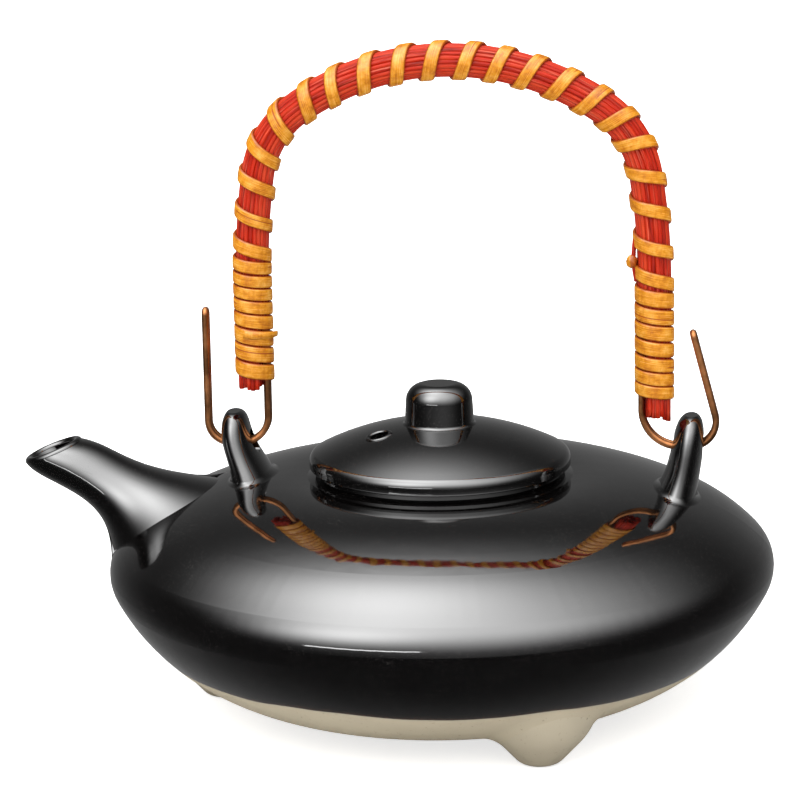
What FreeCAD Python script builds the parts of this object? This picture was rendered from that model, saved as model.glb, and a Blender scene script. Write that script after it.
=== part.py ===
import FreeCAD, Part
import math
import os
import Sketcher

# Bail-handled teapot: a thrown, black-glazed pot on three feet with a short spout and two eyelet ears,
# a loose domed lid with a knob, and a cane bail that hangs in the ears by two hooks of doubled wire.
# Millimetres, +Z up, z = 0 on the table, the pot's turning axis on Z, the spout toward -X.

doc = FreeCAD.newDocument("bail_teapot")
sizes = doc.addObject("Spreadsheet::Sheet", "Sizes")
sheet_row = [1]


def size(alias, value):
    """One driving or derived size: its name in column A, its value or formula in column B."""
    row = sheet_row[0]
    sizes.set("A%d" % row, alias)
    sizes.set("B%d" % row, str(value))
    sizes.setAlias("B%d" % row, alias)
    sheet_row[0] = row + 1


def mm(alias, value):
    size(alias, "=%s mm" % value)


def ref(text):
    """Turns the words in a formula into sheet references: body_radius becomes Sizes.body_radius."""
    out = ""
    word = ""
    for letter in text + " ":
        if letter.isalnum() or letter in "_.":
            word += letter
            continue
        if "_" in word and not word.startswith("Sizes."):
            out += "Sizes." + word
        else:
            out += word
        word = ""
        out += letter
    return out.strip()


# Pot: profile of tangent arcs, given by radii and by the slope at which one arc meets the next
mm("body_radius", 80)
mm("shoulder_height", 34.8)
mm("shoulder_round", 9)
mm("haunch_round", 40)
mm("dome_round", 75)
mm("belly_round", 50)
size("haunch_slope", "=44 deg")
size("dome_slope", "=65 deg")
size("belly_slope", "=27 deg")
mm("wall_thick", 4.5)
mm("neck_radius", 29.5)
mm("neck_foot", 32)
mm("neck_bore", 24.5)
mm("neck_top", 58.2)
size("shoulder_centre", "=body_radius - shoulder_round")
size("haunch_x", "=shoulder_centre + (shoulder_round - haunch_round) * cos(haunch_slope)")
size("haunch_z", "=shoulder_height + (shoulder_round - haunch_round) * sin(haunch_slope)")
size("dome_x", "=haunch_x + (haunch_round - dome_round) * cos(dome_slope)")
size("dome_z", "=haunch_z + (haunch_round - dome_round) * sin(dome_slope)")
size("belly_x", "=shoulder_centre - (belly_round - shoulder_round) * cos(belly_slope)")
size("belly_z", "=shoulder_height + (belly_round - shoulder_round) * sin(belly_slope)")

# Feet: three blunt cones on one circle, one of them under the spout
mm("foot_circle", 53.7)
mm("foot_tip", 2.6)
mm("foot_round", 4.2)
mm("foot_flank", 9.6)
mm("foot_flank_z", 5.6)
mm("foot_swell", 16.4)
mm("foot_root", 14)
mm("foot_height", 16.5)
size("foot_slope", "=47 deg")
size("foot_turn", "=120 deg")

# Lid: domed cap with an inner flange that keeps it centred in the neck
mm("lid_radius", 31.4)
mm("lid_seat", 58.5)
mm("lid_rim", 1.9)
mm("rim_round", 2.2)
size("lid_slope", "=63.3 deg")
mm("flange_radius", 23.4)
mm("flange_inner", 20)
mm("flange_depth", 6)
mm("lid_hollow", 63.8)
mm("steam_radius", 2.2)
mm("steam_reach", 15.9)
size("steam_turn", "=211 deg")
size("rim_x", "=lid_radius - rim_round")
size("rim_z", "=lid_seat + lid_rim")
size("lid_round", "=rim_round + rim_x / cos(lid_slope)")
size("cap_z", "=rim_z + (rim_round - lid_round) * sin(lid_slope)")
mm("knob_base", 8.3)
mm("knob_fillet", 0.8)
mm("knob_radius", 8.0)
mm("knob_round", 4.1)
mm("knob_top", 78.7)

# Ears: upright tabs with a round eye, one on the spout side and one opposite
mm("ear_front_eye", -48.8)
mm("ear_front_root", -45.4)
mm("ear_front_seat", 55)
mm("ear_rear_eye", 59.3)
mm("ear_rear_root", 56.4)
mm("ear_rear_seat", 52)
mm("eye_height", 64.2)
mm("eye_radius", 2.8)
mm("ear_top", 71.5)

# Bail: straight lower legs that lean in as they rise, two corners and a flatter top,
# all on the centre line of the cane bundle
mm("bail_middle", 3.5)
mm("bail_half", 47.9)
mm("bail_lean", 160)
mm("bail_corner", 24)
mm("bail_top", 156.1)
mm("bail_left_end", 77)
mm("bail_right_end", 70)
mm("bail_datum", 60)
mm("lean_z", 104)
size("lean_turn", "=9 deg")
size("lean_x", "=bail_half - bail_lean")
size("corner_x", "=lean_x + (bail_lean - bail_corner) * cos(lean_turn)")
size("corner_z", "=lean_z + (bail_lean - bail_corner) * sin(lean_turn)")
size("arch_rise", "=bail_top - corner_z")
size("bail_crown", "=(arch_rise ^ 2 + corner_x ^ 2 - bail_corner ^ 2) / (2 * (arch_rise - bail_corner))")
size("crown_z", "=bail_top - bail_crown")
size("arch_sine", "=corner_x / (bail_crown - bail_corner)")
size("arch_cosine", "=sqrt(1 - arch_sine * arch_sine)")
mm("cane_radius", 1.3)
mm("cane_pitch", 2.65)

# Rattan: flat strip wound round the bundle
mm("strip_inner", 4.05)
mm("strip_outer", 4.8)
mm("strip_wide", 3.4)
mm("strip_crown", 3.9)
mm("strip_pitch", 3.95)
mm("binding_left_z", 80)
mm("binding_right_z", 77)
mm("spiral_radius", 4.8)
mm("spiral_tube", 0.6)
mm("spiral_left_z", 114.5)
mm("spiral_right_z", 111.5)
size("spiral_turns", "=20")

# Hooks: doubled wire, bent through the eye of an ear, both ends tucked in the bundle
mm("wire_radius", 0.82)
mm("wire_half_gap", 1)
mm("wire_slot", 3)
mm("hook_low", 63.9)
mm("hook_left_inner", 6.5)
mm("hook_right_inner", 9)
mm("hook_tuck", 92)
mm("hook_left_bend", 5.25)
mm("hook_left_x", -56)
mm("hook_left_top", 95.2)
mm("hook_right_bend", 6)
mm("hook_right_x", 60)
mm("hook_right_limb", 19.6)
size("hook_right_lean", "=14.8 deg")
mm("hook_datum", 70)
doc.recompute()

UPRIGHT = FreeCAD.Rotation(FreeCAD.Vector(1, 0, 0), 90)


def number(obj, text):
    value = obj.evalExpression(ref(text))
    return float(getattr(value, "Value", value))


def arc_centre(start, end, radius, side):
    """Centre of the shorter arc from start to end; side +1 has it on the left of the way travelled."""
    half = (end - start) * 0.5
    rise = math.sqrt(max(radius ** 2 - half.Length ** 2, 0.0))
    across = FreeCAD.Vector(-half.y, half.x, 0)
    across.normalize()
    return start + half + across * rise * side


def outline(sketch, corners, closed=True):
    """Lines and arcs through the corners, every corner and every radius tied to the sheet.

    A corner is (x, z) for a line that ends there, or (x, z, radius, side) for an arc.
    """
    points = []
    for corner in corners:
        points.append(FreeCAD.Vector(number(sketch, corner[0]), number(sketch, corner[1]), 0))
    ends = []
    first = 0 if closed else 1
    for index in range(first, len(corners)):
        corner = corners[index]
        start = points[index - 1]
        end = points[index]
        if len(corner) == 2:
            edge = sketch.addGeometry(Part.LineSegment(start, end), False)
            ends.append((edge, 1, 2))
            continue
        radius = number(sketch, corner[2])
        centre = arc_centre(start, end, radius, corner[3])
        circle = Part.Circle(centre, FreeCAD.Vector(0, 0, 1), radius)
        angle_start = math.atan2(start.y - centre.y, start.x - centre.x)
        angle_end = math.atan2(end.y - centre.y, end.x - centre.x)
        if corner[3] > 0:
            edge = sketch.addGeometry(Part.ArcOfCircle(circle, angle_start, angle_end), False)
            ends.append((edge, 1, 2))
        else:
            edge = sketch.addGeometry(Part.ArcOfCircle(circle, angle_end, angle_start), False)
            ends.append((edge, 2, 1))
        note = sketch.addConstraint(Sketcher.Constraint("Radius", edge, radius))
        sketch.renameConstraint(note, "arc_%d" % index)
        sketch.setExpression("Constraints.arc_%d" % index, ref(corner[2]))
    for index in range(len(ends)):
        if index == 0 and not closed:
            continue
        before = ends[index - 1]
        here = ends[index]
        sketch.addConstraint(Sketcher.Constraint("Coincident", before[0], before[2], here[0], here[1]))
    places = []
    for index, (edge, tail, tip) in enumerate(ends):
        places.append((index + first, edge, tip))
    if not closed:
        places.append((0, ends[0][0], ends[0][1]))
    for index, edge, spot in places:
        for axis, kind, text in ((-2, "DistanceX", corners[index][0]), (-1, "DistanceY", corners[index][1])):
            if text == "0":
                sketch.addConstraint(Sketcher.Constraint("PointOnObject", edge, spot, axis))
                continue
            value = number(sketch, text)
            note = sketch.addConstraint(Sketcher.Constraint(kind, -1, 1, edge, spot, value))
            label = "%s_%d" % (kind[-1].lower() + "_at", index)
            sketch.renameConstraint(note, label)
            sketch.setExpression("Constraints." + label, ref(text))


def turned(name, corners):
    """A turned solid: a profile in the XZ plane, spun round Z."""
    body = doc.addObject("PartDesign::Body", name)
    sketch = body.newObject("Sketcher::SketchObject", name + "_profile")
    sketch.Placement = FreeCAD.Placement(FreeCAD.Vector(0, 0, 0), UPRIGHT)
    outline(sketch, corners)
    turn = body.newObject("PartDesign::Revolution", name + "_turn")
    turn.Profile = sketch
    turn.ReferenceAxis = (sketch, ["V_Axis"])
    turn.Angle = 360
    doc.recompute()
    return body


def bent_wire(name, corners, radius, shift_x, shift_y):
    """A round rod along a flat path of lines and arcs that starts upright."""
    body = doc.addObject("PartDesign::Body", name)
    path = body.newObject("Sketcher::SketchObject", name + "_path")
    path.Placement = FreeCAD.Placement(FreeCAD.Vector(0, 0, 0), UPRIGHT)
    path.setExpression("Placement.Base.x", ref(shift_x))
    path.setExpression("Placement.Base.y", ref(shift_y))
    outline(path, corners, closed=False)
    section = body.newObject("Sketcher::SketchObject", name + "_section")
    section.setExpression("Placement.Base.x", ref("%s + %s" % (shift_x, corners[0][0])))
    section.setExpression("Placement.Base.y", ref(shift_y))
    section.setExpression("Placement.Base.z", ref(corners[0][1]))
    ring = Part.Circle(FreeCAD.Vector(0, 0, 0), FreeCAD.Vector(0, 0, 1), number(section, radius))
    edge = section.addGeometry(ring, False)
    section.addConstraint(Sketcher.Constraint("Coincident", edge, 3, -1, 1))
    note = section.addConstraint(Sketcher.Constraint("Radius", edge, number(section, radius)))
    section.renameConstraint(note, "rod_radius")
    section.setExpression("Constraints.rod_radius", ref(radius))
    doc.recompute()
    pipe = body.newObject("PartDesign::AdditivePipe", name + "_pipe")
    pipe.Profile = section
    pipe.Spine = (path, ["Edge%d" % (index + 1) for index in range(len(corners) - 1)])
    doc.recompute()
    return body


def cut(name, base, tool):
    shape = doc.addObject("Part::Cut", name)
    shape.Base = base
    shape.Tool = tool
    doc.recompute()
    return shape


def oval(name, x, z, long_half, wide_half, tilt):
    """One oval section across Y, its plane tipped by tilt degrees round Y."""
    mm(name + "_x", x)
    mm(name + "_z", z)
    mm(name + "_wide", wide_half)
    mm(name + "_long", long_half)
    doc.recompute()
    ring = doc.addObject("Part::Ellipse", name)
    quarter = FreeCAD.Rotation(FreeCAD.Vector(0, 0, 1), 90)
    tip = FreeCAD.Rotation(FreeCAD.Vector(0, 1, 0), tilt)
    ring.Placement = FreeCAD.Placement(FreeCAD.Vector(x, 0, z), tip.multiply(quarter))
    ring.MajorRadius = wide_half
    ring.MinorRadius = long_half
    ring.setExpression("MajorRadius", ref(name + "_wide"))
    ring.setExpression("MinorRadius", ref(name + "_long"))
    ring.setExpression("Placement.Base.x", ref(name + "_x"))
    ring.setExpression("Placement.Base.z", ref(name + "_z"))
    return ring


def loft(name, rings):
    shape = doc.addObject("Part::Loft", name)
    shape.Sections = rings
    shape.Solid = True
    shape.Ruled = False
    doc.recompute()
    return shape


# Thrown pot: outer form, hollow and the pierced wall behind the spout
def pot_wall(inset):
    """The run of tangent arcs from the base up to the dome, drawn in by inset."""
    return [
        ("belly_x", "belly_z - belly_round + %s" % inset),
        ("shoulder_centre + (shoulder_round - %s) * cos(belly_slope)" % inset,
         "shoulder_height - (shoulder_round - %s) * sin(belly_slope)" % inset,
         "belly_round - %s" % inset, 1),
        ("shoulder_centre + (shoulder_round - %s) * cos(haunch_slope)" % inset,
         "shoulder_height + (shoulder_round - %s) * sin(haunch_slope)" % inset,
         "shoulder_round - %s" % inset, 1),
        ("haunch_x + (haunch_round - %s) * cos(dome_slope)" % inset,
         "haunch_z + (haunch_round - %s) * sin(dome_slope)" % inset,
         "haunch_round - %s" % inset, 1),
    ]


def dome_end(reach, inset):
    """Where the dome arc, drawn in by inset, ends at the given radius."""
    rise = "dome_z + sqrt((dome_round - %s) ^ 2 - (%s - dome_x) ^ 2)" % (inset, reach)
    return (reach, rise, "dome_round - %s" % inset, 1)


outer_profile = [("0", "belly_z - belly_round")]
outer_profile += pot_wall("0 mm")
outer_profile.append(dome_end("neck_foot", "0 mm"))
outer_profile.append(("neck_radius", dome_end("neck_foot", "0 mm")[1] + " + 0.8 mm"))
outer_profile.append(("neck_radius", "neck_top"))
outer_profile.append(("0", "neck_top"))
pot_outer = turned("pot_outer", outer_profile)

inner_profile = [("0", "belly_z - belly_round + wall_thick")]
inner_profile += pot_wall("wall_thick")
inner_profile.append(dome_end("neck_bore", "wall_thick"))
inner_profile.append(("neck_bore", "neck_top + 2 mm"))
inner_profile.append(("0", "neck_top + 2 mm"))
pot_hollow = turned("pot_hollow", inner_profile)
pot_shell = cut("pot_shell", pot_outer, pot_hollow)

mm("strainer_x", -65)
mm("strainer_z", 46)
mm("strainer_radius", 2.2)
mm("strainer_pitch", 6.4)
doc.recompute()
strainer_axis = FreeCAD.Rotation(FreeCAD.Vector(0, 1, 0), -26)
holes = []
for index in range(7):
    hole = doc.addObject("Part::Cylinder", "strainer_hole_%d" % index)
    hole.Height = 24
    hole.setExpression("Radius", ref("strainer_radius"))
    spread = number(hole, "strainer_pitch") if index else 0.0
    angle = math.radians(60 * index)
    local = FreeCAD.Vector(spread * math.cos(angle), spread * math.sin(angle), -12)
    middle = FreeCAD.Vector(number(hole, "strainer_x"), 0, number(hole, "strainer_z"))
    hole.Placement = FreeCAD.Placement(middle + strainer_axis.multVec(local), strainer_axis)
    holes.append(hole)
strainer = doc.addObject("Part::Compound", "strainer")
strainer.Links = holes
doc.recompute()
pot_wall_form = cut("pot_wall_form", pot_shell, strainer)

# The wall in two halves, a bowl and a dome, that meet at the widest point
above = doc.addObject("Part::Box", "above_widest")
above.Length = 200
above.Width = 200
above.Height = 100
above.Placement.Base = FreeCAD.Vector(-100, -100, 0)
above.setExpression("Placement.Base.z", ref("shoulder_height"))
below = doc.addObject("Part::Box", "below_widest")
below.Length = 200
below.Width = 200
below.Placement.Base = FreeCAD.Vector(-100, -100, -10)
below.setExpression("Height", ref("shoulder_height + 10 mm"))
doc.recompute()
pot_body = cut("pot_body", pot_wall_form, above)
pot_dome = cut("pot_dome", pot_wall_form, below)

# Spout: wide oval root on the shoulder, narrowing to a lip that is cut nearly level
spout_form = loft("spout_form", [
    oval("spout_seat", -60.5, 42.5, 20, 25, -30),
    oval("spout_root", -65.8, 45.6, 16.4, 20.5, -27.7),
    oval("spout_low", -71.7, 49.3, 11.8, 14.4, -27),
    oval("spout_mid", -78.4, 52.9, 8.9, 10.8, -25.5),
    oval("spout_neck", -86.7, 57.1, 8.4, 9.1, -23),
    oval("spout_lip", -94.5, 61.2, 7.4, 7.8, -20.7),
])
spout_bore = loft("spout_bore", [
    oval("bore_seat", -60.5, 42.5, 15, 20, -30),
    oval("bore_root", -65.8, 45.6, 12.6, 16.7, -27.7),
    oval("bore_low", -71.9, 49.3, 9, 11.4, -27),
    oval("bore_mid", -78.7, 52.9, 6.5, 8, -25.5),
    oval("bore_neck", -86.8, 57.1, 6, 6.6, -23),
    oval("bore_lip", -94.5, 61.2, 5.2, 5.6, -20.7),
    oval("bore_end", -99, 63.8, 5.1, 5.5, -19.5),
])
spout_tube = cut("spout_tube", spout_form, spout_bore)
spout = cut("spout", spout_tube, pot_outer)


def ear(name, x, foot_x, foot_z):
    """A tab that leans outward, spread at the foot, rounded at the top, its eye on the bail's pivot line."""
    top = number(sizes, "ear_top")
    eye = number(sizes, "eye_height")
    lean = x - foot_x
    form = loft(name + "_form", [
        oval(name + "_under", foot_x - lean * 0.7, foot_z - 8, 7.6, 15.5, 0),
        oval(name + "_foot", foot_x, foot_z + 0.6, 5.2, 11.4, 0),
        oval(name + "_stem", foot_x + lean * 0.45, foot_z + 4.4, 4.4, 10, 0),
        oval(name + "_waist", x, eye, 3.8, 8.4, 0),
        oval(name + "_head", x + lean * 0.2, top - 2.4, 3.1, 6.4, 0),
        oval(name + "_tip", x + lean * 0.3, top, 1.5, 3, 0),
    ])
    eye_pin = doc.addObject("Part::Cylinder", name + "_pin")
    eye_pin.Height = 40
    eye_pin.Placement = FreeCAD.Placement(FreeCAD.Vector(x - 20, 0, eye),
                                          FreeCAD.Rotation(FreeCAD.Vector(0, 1, 0), 90))
    eye_pin.setExpression("Radius", ref("eye_radius"))
    eye_pin.setExpression("Placement.Base.z", ref("eye_height"))
    doc.recompute()
    drilled = cut(name + "_drilled", form, eye_pin)
    return cut(name, drilled, pot_outer)


def placed_ear(name):
    """An ear from its own three sizes in the sheet."""
    x = number(sizes, name + "_eye")
    foot_x = number(sizes, name + "_root")
    foot_z = number(sizes, name + "_seat")
    return ear(name, x, foot_x, foot_z)


ear_front = placed_ear("ear_front")
ear_rear = placed_ear("ear_rear")

# Feet
feet = []
for index, name in enumerate(("foot_spout", "foot_near", "foot_far")):
    stub = turned(name + "_stub", [
        ("0", "0"),
        ("foot_tip", "0"),
        ("foot_tip + foot_round * sin(foot_slope)", "foot_round - foot_round * cos(foot_slope)",
         "foot_round", 1),
        ("foot_flank", "foot_flank_z"),
        ("foot_root", "foot_height", "foot_swell", 1),
        ("0", "foot_height"),
    ])
    stub.setExpression("Placement.Base.x", ref("foot_circle * cos(180 deg + %d * foot_turn)" % index))
    stub.setExpression("Placement.Base.y", ref("foot_circle * sin(180 deg + %d * foot_turn)" % index))
    doc.recompute()
    feet.append(cut(name, stub, pot_outer))

# Lid and knob
lid_form = turned("lid_form", [
    ("0", "lid_hollow"),
    ("flange_inner", "lid_hollow - 3 mm"),
    ("flange_inner", "lid_seat"),
    ("lid_radius - 0.6 mm", "lid_seat"),
    ("lid_radius", "lid_seat + 0.6 mm"),
    ("lid_radius", "rim_z"),
    ("rim_x + rim_round * cos(lid_slope)", "rim_z + rim_round * sin(lid_slope)", "rim_round", 1),
    ("0", "cap_z + lid_round", "lid_round", 1),
])
lid_flange = turned("lid_flange", [
    ("flange_inner", "lid_seat - flange_depth"),
    ("flange_radius", "lid_seat - flange_depth"),
    ("flange_radius", "lid_seat"),
    ("flange_inner", "lid_seat"),
])
steam = doc.addObject("Part::Cylinder", "steam_hole")
steam.Height = 30
steam.setExpression("Radius", ref("steam_radius"))
steam.setExpression("Placement.Base.x", ref("steam_reach * cos(steam_turn)"))
steam.setExpression("Placement.Base.y", ref("steam_reach * sin(steam_turn)"))
steam.setExpression("Placement.Base.z", ref("lid_seat - 10 mm"))
doc.recompute()
lid = cut("lid", lid_form, steam)
knob_sole = "cap_z + sqrt(lid_round ^ 2 - (knob_base + knob_fillet) ^ 2)"
lid_knob = turned("lid_knob", [
    ("0", "cap_z + lid_round"),
    ("knob_base + knob_fillet", knob_sole, "lid_round", -1),
    ("knob_base", knob_sole + " + knob_fillet", "knob_fillet", -1),
    ("knob_radius", "knob_top - knob_round"),
    ("knob_radius - knob_round", "knob_top", "knob_round", 1),
    ("0", "knob_top"),
])


# Cane bail: one core cane and six round it
def cane(name, out, left_end, right_end, across):
    """One cane of the bundle, offset by out (away from the arch's inside) and by across (along Y)."""
    leg = "(bail_half + %s)" % out
    lean = "(bail_lean + %s)" % out
    crown = "(bail_crown + %s)" % out
    corner = "bail_corner + %s" % out
    lean_reach = "(lean_x + %s * cos(lean_turn))" % lean
    lean_rise = "lean_z + %s * sin(lean_turn)" % lean
    crown_rise = "crown_z + %s * arch_cosine" % crown
    return bent_wire(name, [
        ("bail_datum - %s" % leg, left_end),
        ("bail_datum - %s" % leg, "lean_z"),
        ("bail_datum - %s" % lean_reach, lean_rise, lean, -1),
        ("bail_datum - %s * arch_sine" % crown, crown_rise, corner, -1),
        ("bail_datum + %s * arch_sine" % crown, crown_rise, crown, -1),
        ("bail_datum + %s" % lean_reach, lean_rise, corner, -1),
        ("bail_datum + %s" % leg, "lean_z", lean, -1),
        ("bail_datum + %s" % leg, right_end),
    ], "cane_radius", "bail_middle - bail_datum", across)


canes = [cane("cane_core", "0 mm", "bail_left_end + 1 mm", "bail_right_end + 1 mm", "0 mm")]
for index in range(6):
    turn = "%d deg" % (60 * index)
    out = "cane_pitch * cos(%s)" % turn
    across = "cane_pitch * sin(%s)" % turn
    low_left = "bail_left_end + %s mm" % (0.7 * (index % 3))
    low_right = "bail_right_end + 1 mm - 0.35 * %s" % out
    if index == 3:
        low_left = "hook_tuck + 1 mm"
        low_right = "hook_tuck + 1 mm"
    canes.append(cane("cane_%d" % (index + 1), out, low_left, low_right, across))


# Rattan bindings at the two ends of the bundle
def binding(name, leg_x, low_z, turns):
    body = doc.addObject("PartDesign::Body", name)
    sketch = body.newObject("Sketcher::SketchObject", name + "_strip")
    sketch.Placement = FreeCAD.Placement(FreeCAD.Vector(0, 0, 0), UPRIGHT)
    outline(sketch, [
        ("strip_inner", "1 mm"),
        ("strip_outer", "1 mm"),
        ("strip_outer", "1 mm + strip_wide", "strip_crown", 1),
        ("strip_inner", "1 mm + strip_wide"),
    ])
    doc.recompute()
    winding = body.newObject("PartDesign::AdditiveHelix", name + "_winding")
    winding.Profile = sketch
    winding.ReferenceAxis = (sketch, ["V_Axis"])
    winding.Mode = 0
    winding.setExpression("Pitch", ref("strip_pitch"))
    winding.setExpression("Height", ref("strip_pitch * %s" % turns))
    winding.Angle = 0
    body.setExpression("Placement.Base.x", ref(leg_x))
    body.setExpression("Placement.Base.z", ref(low_z))
    doc.recompute()
    return body


binding_left = binding("binding_left", "bail_middle - bail_half", "binding_left_z", 7)
binding_right = binding("binding_right", "bail_middle + bail_half", "binding_right_z", 7)


# Rattan spiral over the arch: one unbroken round winding on half-turn biarcs
bail = {}
for word in ("bail_middle", "bail_lean", "bail_corner", "bail_crown", "lean_x", "lean_z", "corner_x",
             "corner_z", "crown_z", "arch_sine", "arch_cosine", "lean_turn", "spiral_radius",
             "spiral_tube", "spiral_left_z", "spiral_right_z", "spiral_turns"):
    bail[word] = number(sizes, word)
lean_end = math.radians(bail["lean_turn"])
corner_end = math.atan2(bail["arch_cosine"], bail["arch_sine"])
lean_run = bail["bail_lean"] * lean_end
corner_run = bail["bail_corner"] * (corner_end - lean_end)
crown_run = bail["bail_crown"] * (math.pi - 2 * corner_end)
spiral_skip = bail["spiral_left_z"] - bail["lean_z"]
spiral_run = 2 * (lean_run + corner_run) + crown_run - spiral_skip
spiral_run -= bail["spiral_right_z"] - bail["lean_z"]
arcs = [
    (lean_run, bail["bail_lean"], -bail["lean_x"], bail["lean_z"], 0.0),
    (corner_run, bail["bail_corner"], -bail["corner_x"], bail["corner_z"], lean_end),
    (crown_run, bail["bail_crown"], 0.0, bail["crown_z"], corner_end),
    (corner_run, bail["bail_corner"], bail["corner_x"], bail["corner_z"], math.pi - corner_end),
    (lean_run, bail["bail_lean"], bail["lean_x"], bail["lean_z"], math.pi - lean_end),
]


def bail_place(run):
    """Centre line of the bail and its outward direction, at a distance along the spiral's stretch."""
    run += spiral_skip
    for length, radius, offset, height, start in arcs:
        if run <= length:
            break
        run -= length
    else:
        run += length
    angle = start + run / radius
    outward = FreeCAD.Vector(-math.cos(angle), 0, math.sin(angle))
    centre = FreeCAD.Vector(bail["bail_middle"] + offset, 0, height)
    return centre + outward * radius, outward


def spiral_place(run):
    place, outward = bail_place(run)
    turn = 2 * math.pi * bail["spiral_turns"] * run / spiral_run
    across = FreeCAD.Vector(0, 1, 0)
    return place + (outward * math.cos(turn) + across * math.sin(turn)) * bail["spiral_radius"]


def heading(run):
    step = 0.01
    way = spiral_place(run + step) - spiral_place(run - step)
    way.normalize()
    return way


def arc_from(start, way, end):
    """The arc that leaves start along way and ends at end."""
    chord = end - start
    normal = chord - way * chord.dot(way)
    normal.normalize()
    radius = chord.Length ** 2 / (2 * chord.dot(normal))
    centre = start + normal * radius
    toward = (start - centre) + (end - centre)
    toward.normalize()
    return Part.Arc(start, centre + toward * radius, end).toShape()


def biarc(start, way_out, end, way_in):
    """Two arcs from start to end that keep both headings and meet without a corner."""
    chord = end - start
    both = way_out + way_in
    lean = 2 * (1 - way_out.dot(way_in))
    along = chord.dot(both)
    reach = (math.sqrt(along ** 2 + lean * chord.dot(chord)) - along) / lean
    near = start + way_out * reach
    far = end - way_in * reach
    middle = (near + far) * 0.5
    way_middle = far - near
    way_middle.normalize()
    return [arc_from(start, way_out, middle), arc_from(middle, way_middle, end)]


half_turns = int(round(2 * bail["spiral_turns"]))
edges = []
for index in range(half_turns):
    run_a = spiral_run * index / half_turns
    run_b = spiral_run * (index + 1) / half_turns
    edges += biarc(spiral_place(run_a), heading(run_a), spiral_place(run_b), heading(run_b))
spiral_path = Part.Wire(edges)
ring = Part.Circle(spiral_place(0), heading(0), bail["spiral_tube"])
pipe = Part.BRepOffsetAPI.MakePipeShell(spiral_path)
pipe.add(Part.Wire([ring.toShape()]))
pipe.build()
pipe.makeSolid()
spiral = doc.addObject("Part::Feature", "spiral")
spiral.Shape = pipe.shape()

marks = []
for edge in edges:
    marks += edge.discretize(7)[:-1]
per_turn = 24
least = 1000.0
for index in range(len(marks)):
    for other in range(index + per_turn // 2, len(marks)):
        least = min(least, marks[index].distanceToPoint(marks[other]))
print("spiral least gap to itself %.2f mm" % (least - 2 * bail["spiral_tube"]))
expected = math.pi * bail["spiral_tube"] ** 2 * spiral_path.Length
print("spiral volume %.1f of %.1f mm3" % (spiral.Shape.Volume, expected))


# Wire hooks: each a hairpin of doubled wire, closed at the top of its outer limb
def hook(name, corners, shift_x, fold_x, fold_z, lean):
    strand = bent_wire(name + "_strand", corners, "wire_radius", shift_x, "wire_half_gap")
    twin = doc.addObject("Part::Mirroring", name + "_twin")
    twin.Source = strand
    twin.Base = FreeCAD.Vector(0, 0, 0)
    twin.Normal = FreeCAD.Vector(0, 1, 0)
    fold = doc.addObject("Part::Torus", name + "_fold")
    fold.setExpression("Radius1", ref("wire_half_gap"))
    fold.setExpression("Radius2", ref("wire_radius"))
    fold.Angle3 = 180
    turn = FreeCAD.Rotation(FreeCAD.Vector(1, 1, 1), 120)
    tip = FreeCAD.Rotation(FreeCAD.Vector(0, 1, 0), -lean)
    fold.Placement = FreeCAD.Placement(FreeCAD.Vector(0, 0, 0), tip.multiply(turn))
    fold.setExpression("Placement.Base.x", ref(fold_x))
    fold.setExpression("Placement.Base.z", ref(fold_z))
    doc.recompute()
    joined = doc.addObject("Part::MultiFuse", name)
    joined.Shapes = [strand, twin, fold]
    doc.recompute()
    return joined


left_slot = "(hook_datum + bail_middle - bail_half + wire_slot)"
hook_left = hook("hook_left", [
    (left_slot, "hook_tuck"),
    (left_slot, "hook_low + hook_left_inner"),
    (left_slot + " - hook_left_inner", "hook_low", "hook_left_inner", -1),
    ("hook_datum + hook_left_x + hook_left_bend", "hook_low"),
    ("hook_datum + hook_left_x", "hook_low + hook_left_bend", "hook_left_bend", -1),
    ("hook_datum + hook_left_x", "hook_left_top"),
], "0 mm - hook_datum", "hook_left_x", "hook_left_top", 0)

right_slot = "(bail_middle + bail_half - wire_slot)"
limb_x = "(hook_right_x + hook_right_bend * cos(hook_right_lean))"
limb_z = "(hook_low + hook_right_bend + hook_right_bend * sin(hook_right_lean))"
top_x = "%s - hook_right_limb * sin(hook_right_lean)" % limb_x
top_z = "%s + hook_right_limb * cos(hook_right_lean)" % limb_z
hook_right = hook("hook_right", [
    (right_slot, "hook_tuck"),
    (right_slot, "hook_low + hook_right_inner"),
    (right_slot + " + hook_right_inner", "hook_low", "hook_right_inner", 1),
    ("hook_right_x", "hook_low"),
    (limb_x, limb_z, "hook_right_bend", 1),
    (top_x, top_z),
], "0 mm", top_x, top_z, number(sizes, "hook_right_lean"))

doc.recompute()
nodes = [pot_body, pot_dome, spout, ear_front, ear_rear] + feet + [lid, lid_flange, lid_knob] + canes
nodes += [binding_left, spiral, binding_right, hook_left, hook_right]

for item in doc.Objects:
    if "Invalid" in item.State or "Error" in item.State:
        raise RuntimeError("not built: %s %s" % (item.Name, item.State))

os.makedirs("parts", exist_ok=True)
for node in nodes:
    shape = node.Shape
    if shape.isNull() or not shape.isValid():
        raise RuntimeError("bad shape: %s" % node.Name)
    solids = shape.Solids
    if len(solids) != 1:
        raise RuntimeError("%s has %d solids" % (node.Name, len(solids)))
    print("%s volume %.1f mm3" % (node.Name, shape.Volume))
    shape.exportStep("parts/%s.step" % node.Name)
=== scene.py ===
import math
import random

import bpy
from mathutils import Matrix, Vector
from mathutils.bvhtree import BVHTree


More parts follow.
